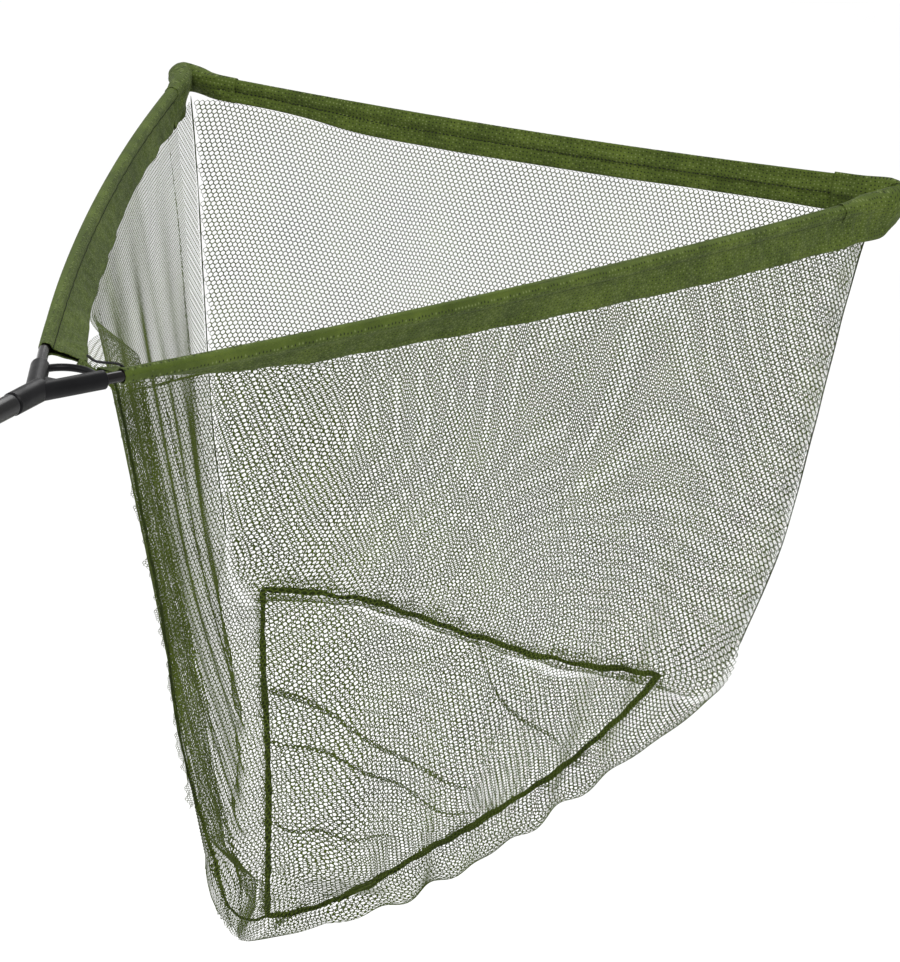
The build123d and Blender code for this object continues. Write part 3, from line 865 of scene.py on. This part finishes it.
def brass_look():
    look = Look("brass_thread", roughness=0.3, Metallic=1.0)
    where = look.place()
    thread = look.node("ShaderNodeTexWave", {"bands_direction": "X", "wave_profile": "SAW"}, Vector=where,
                       Scale=125.0, Distortion=0.4).outputs["Fac"]
    stain = look.noise(where, 220.0, 4.0)
    look.colour(look.ramp(stain, [(0.3, (0.42, 0.29, 0.10)), (0.7, (0.74, 0.56, 0.27))]))
    look.rough(look.ramp(stain, [(0.3, 0.42), (0.7, 0.22)]))
    look.bump(thread, 0.0005, 0.8)
    return look.material


def braid_look(name, dark, light):
    look = Look(name, roughness=0.7, Specular_IOR_Level=0.3)
    where = look.place()
    braid = look.node("ShaderNodeTexWave", {"bands_direction": "DIAGONAL"}, Vector=where, Scale=260.0,
                      Distortion=2.0).outputs["Fac"]
    fuzz = look.noise(where, 700.0, 2.0)
    tone = look.math("ADD", look.math("MULTIPLY", braid, 0.65), look.math("MULTIPLY", fuzz, 0.35))
    look.colour(look.ramp(tone, [(0.2, dark), (0.8, light)]))
    look.rough(look.ramp(fuzz, [(0.3, 0.6), (0.8, 0.85)]))
    look.bump(braid, 0.0005, 0.8)
    return look.material


def set_look(node, material):
    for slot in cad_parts[node].material_slots:
        slot.material = material


# ---------------------------------------------------------------- pieces
def crosses_middle(piece):
    """Fixes the piece in place by baking its transform into its mesh; it is not attached to either arm."""
    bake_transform(piece)


def stitches_along(name, faces, material):
    """Rows of stitches on both faces of a sleeve, just below its wire."""
    points, out = (np.vstack([face[k][1:-1:2] for face in faces]) for k in (0, 1))
    heading = np.vstack([np.gradient(face[0], axis=0)[1:-1:2] for face in faces])
    heading /= np.linalg.norm(heading, axis=1, keepdims=True)
    return stitch_row(name, points + out * 0.0002, heading, out, material)


def side_sleeve(side, material, thread):
    name = "left" if side > 0 else "right"
    s = np.arange(SLEEVE_START[side], SLEEVE_END, STITCH_PITCH / 2)
    creases = 1 + 1.2 * ease(s, 0.93, 1.03)
    sleeve, faces = flat_tube(f"rim_sleeve_{name}", arm_line(s)[0], sleeve_tilt(s), SLEEVE_WIDTH, ARM_R,
                              material, 31 + side, creases, around=52, flip=(1, side, 1))
    row = stitches_along(f"sleeve_stitches_{name}", faces, thread)
    for piece in (sleeve, row):
        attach(piece, f"arm_{name}")
    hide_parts(f"sleeve_{name}")


def front_sleeve(material, thread):
    y = np.arange(CORNER[1] - 0.035, -CORNER[1] + 0.035, -STITCH_PITCH / 2)
    creases = 1 + 1.6 * ease(np.abs(y), 0.26, 0.36)
    sleeve, faces = flat_tube("rim_sleeve_front", cord_line(y), FRONT_TILT + 0 * y, front_width(y),
                              CORD_R, material, 57, creases, around=52, rise=front_rise(y))
    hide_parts("sleeve_front")
    row = stitches_along("sleeve_stitches_front", faces, thread)
    for piece in (sleeve, row):
        crosses_middle(piece)


def corner_pocket(side, material):
    """The sleeves' joined ends, drawn round the arm's tip and the cord's knot."""
    name = "left" if side > 0 else "right"
    arm, _ = arm_line(np.array([1.000, 1.022, 1.044]))
    nose = CORNER + np.array([0.001, 0.0065, 0.0])
    round_nose = CORNER + np.array([0.006, -0.006, -0.0005])
    cord = cord_line(CORNER[1] - np.array([0.030, 0.060]))
    line = at(smooth_line([*arm, nose, round_nose, *cord], 12), np.linspace(0, 1, 90))
    share = np.linspace(0, 1, len(line))
    turn = ease(share, 0.42, 0.62)
    wire_r = ARM_R + 0.0008 + 0.0030 * ease(share, 0.05, 0.28) * (1 - ease(share, 0.66, 0.95))
    wire_r = wire_r + 0.0026 * np.exp(-((share - 0.5) / 0.12) ** 2) - 0.0024 * ease(share, 0.7, 1)
    front = side * cord_line(CORNER[1] - 0.06)[1]
    rise = front_rise(front) * turn + 0.0012
    width = SLEEVE_WIDTH * (1 - turn) + (front_width(front) + 0.0010) * turn
    pocket, _ = flat_tube(f"rim_corner_{name}", line, math.radians(86) + 0 * share, width, wire_r,
                          material, 91 + side, creases=1.8, rise=rise, flip=(1, side, 1))
    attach(pocket, f"arm_{name}")
    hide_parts(f"corner_pocket_{name}")


def throat_band(material, elastic):
    """The hem's end, carried across from one sleeve to the other, and the elastic tie above it."""
    left = sleeve_hem(np.array([SLEEVE_START[1], SLEEVE_START[1] + 0.01]), SLEEVE_WIDTH - 0.006)[0]
    right = sleeve_hem(np.array([SLEEVE_START[-1] + 0.002, SLEEVE_START[-1] + 0.01]), 0.016)[0] * MIRROR
    middle = (left + right) / 2 + np.array([-0.002, 0, -0.0035])
    line = at(smooth_line([left, middle, right]), np.linspace(0, 1, 40))
    tilt = math.radians(62) + 0 * line[:, 0]
    band, _ = flat_tube("throat_band", line, tilt, 0.007, 0.0011, material, 83, creases=0.35, around=24)
    route = [left + (0.004, -0.004, 0.004), middle + (0.008, 0.004, 0.006), right + (0.012, 0.004, 0.005),
             right + (0.016, -0.002, 0.001)]
    share = np.linspace(0, 1, 60)
    angle = np.linspace(0, 2 * math.pi, 12, endpoint=False)
    radius = 0.0012 * (1 + 0.10 * np.sin(share[:, None] * 190 + 3 * angle[None, :]))
    tie = tube("elastic_tie", at(smooth_line(route), share), radius, elastic)
    for piece, node in ((band, "throat_strap"), (tie, "throat_tie")):
        crosses_middle(piece)
        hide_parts(node)


def bag(net, rope):
    side, front = side_panel(), front_panel()
    for sign, name in ((1, "left"), (-1, "right")):
        folds, strand = (LEFT_FOLDS, LEFT_STRAND) if sign > 0 else (RIGHT_FOLDS, STRAND)
        for part, share in (("upper", (0.0, UPPER_SHARE)), ("lower", (UPPER_SHARE, 1.0))):
            piece = panel_net(f"side_netting_{name}_{part}", side, folds, sign, share, net, strand)
            crosses_middle(piece)
            if part == "upper":
                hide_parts(f"net_panel_{name}")
    piece = panel_net("front_netting", front, [], 1, (0.0, 1.0), net)
    crosses_middle(piece)
    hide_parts("net_panel_front")
    piece = base_net(net)
    crosses_middle(piece)
    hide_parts("net_base")

    seams = [("base_seam_front", FRONT_SEAM, 1, 0.0027, "base_rope_front", 11),
             ("throat_seam", THROAT[:5] + SEAM_THROAT_FOOT, 1, 0.0013, "throat_rope", 41)]
    for sign, name in ((1, "left"), (-1, "right")):
        seams.append((f"base_seam_{name}", BASE_SEAM, sign, 0.0028, f"base_rope_{name}", 61 + sign))
        seams.append((f"corner_seam_{name}", CORNER_LINE, sign, 0.0006, f"corner_rope_{name}", 71 + sign))
    for node, points, sign, radius, name, seed in seams:
        line = smooth_line(points) * (1, sign, 1)
        piece = gathered_seam(name, line, radius, seed, rope)
        crosses_middle(piece)
        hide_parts(node)

    frills = [("seam_frill_front", FRONT_SEAM, 1, (-0.15, 0.0, 0.95), 0.016, 4),
              ("throat_fringe", THROAT[:6], 1, (-1.0, 0.0, -0.25), 0.007, 3)]
    for sign, name in ((1, "left"), (-1, "right")):
        frills.append((f"seam_frill_{name}", BASE_SEAM, sign, (0.0, 0.7 * sign, 0.6), 0.013, 4))
    for number, (name, points, sign, out, height, rows) in enumerate(frills):
        piece = frill(name, smooth_line(points) * (1, sign, 1), out, height, 131 + 5 * number, net, rows=rows)
        crosses_middle(piece)


# ---------------------------------------------------------------- studio
def studio():
    floor = bpy.data.meshes.new("floor")
    half, level = 60.0, -2.6
    floor.from_pydata([(-half, -half, level), (half, -half, level), (half, half, level),
                       (-half, half, level)], [], [(0, 1, 2, 3)])
    plane = bpy.data.objects.new("floor", floor)
    bpy.context.scene.collection.objects.link(plane)
    look = Look("pale_floor", roughness=0.9, Specular_IOR_Level=0.1)
    look.colour(look.ramp(look.noise(look.place(), 1.5), [(0.3, 0.90), (0.7, 0.93)]))
    floor.materials.append(look.material)

    world = bpy.data.worlds.new("studio")
    bpy.context.scene.world = world
    bpy.context.scene.view_settings.view_transform = "Standard"
    world.use_nodes = True
    world.node_tree.nodes["Background"].inputs["Color"].default_value = (1.0, 1.0, 1.0, 1.0)
    world.node_tree.nodes["Background"].inputs["Strength"].default_value = 0.62

    middle = HEAD + np.array([0.55, 0, -0.2])
    for name, kind, offset, size, power in (("key", "SUN", (-1.4, -1.6, 2.6), math.radians(30), 2.0),
                                            ("fill", "AREA", (-2.6, 2.2, 2.2), 2.4, 45),
                                            ("back", "AREA", (3.4, 1.0, 2.8), 2.0, 45)):
        light = bpy.data.lights.new(name, kind)
        if kind == "SUN":
            light.angle = size
        else:
            light.size = size
        light.energy = power
        lamp = bpy.data.objects.new(name, light)
        lamp.location = middle + np.array(offset)
        lamp.rotation_euler = Vector(-np.array(offset)).to_track_quat("-Z", "Y").to_euler()
        bpy.context.scene.collection.objects.link(lamp)


def camera():
    data = bpy.data.cameras.new("camera")
    data.lens, data.sensor_width = LENS, SENSOR
    data.clip_end = 100.0
    eye = bpy.data.objects.new("camera", data)
    bpy.context.scene.collection.objects.link(eye)
    azimuth, elevation, roll = (math.radians(angle) for angle in VIEW_ANGLES)
    back = Vector((math.cos(azimuth) * math.cos(elevation), math.sin(azimuth) * math.cos(elevation),
                   math.sin(elevation)))
    right = Vector((0, 0, 1)).cross(back).normalized()
    up = back.cross(right)
    right, up = (right * math.cos(roll) + up * math.sin(roll), up * math.cos(roll) - right * math.sin(roll))
    target = Vector(HEAD) + Vector(VIEW_TARGET)
    turned = Matrix((right, up, back)).transposed().to_4x4()
    eye.matrix_world = Matrix.Translation(target + back * VIEW_DISTANCE) @ turned
    bpy.context.scene.camera = eye


def main():
    net, rope, fabric = netting_look(), gathered_look(), sleeve_look()
    thread = braid_look("stitching", (0.003, 0.004, 0.001), (0.012, 0.016, 0.005))
    block = moulded_look("block_nylon", (0.0035, 0.0035, 0.004), (0.008, 0.008, 0.009), 0.36,
                         Specular_IOR_Level=0.12)
    rubber = moulded_look("black_rubber", (0.004, 0.004, 0.0045), (0.010, 0.010, 0.011), 0.7, 600.0,
                          Specular_IOR_Level=0.2)
    alloy = moulded_look("insert_alloy", (0.012, 0.012, 0.013), (0.030, 0.030, 0.032), 0.35, 400.0,
                         Metallic=0.7)
    arm = rod_look("arm_glass", (0.002, 0.0015, 0.0015), (0.007, 0.005, 0.005), 0.15)
    tube = rod_look("handle_tube", (0.002, 0.0019, 0.002), (0.006, 0.0057, 0.006), 0.30)
    brass, foam = brass_look(), foam_look()
    cord = braid_look("cord_nylon", (0.015, 0.018, 0.010), (0.080, 0.085, 0.060))
    elastic = braid_look("black_elastic", (0.004, 0.004, 0.004), (0.030, 0.030, 0.031))
    looks = {
        "handle_tube": tube, "handle_grip": foam, "butt_cap": rubber, "lock_ring": rubber,
        "thread_insert": alloy, "thread_stud": brass, "spreader_block": block, "bow_cord": cord,
    }
    for side in ("left", "right"):
        looks.update({f"arm_{side}": arm, f"arm_tip_{side}": block, f"cord_knot_{side}": cord})
    for node, material in looks.items():
        set_look(node, material)
    camera()
    studio()
    side_sleeve(1, fabric, thread)
    side_sleeve(-1, fabric, thread)
    front_sleeve(fabric, thread)
    corner_pocket(1, fabric)
    corner_pocket(-1, fabric)
    throat_band(fabric, elastic)
    bag(net, rope)


main()
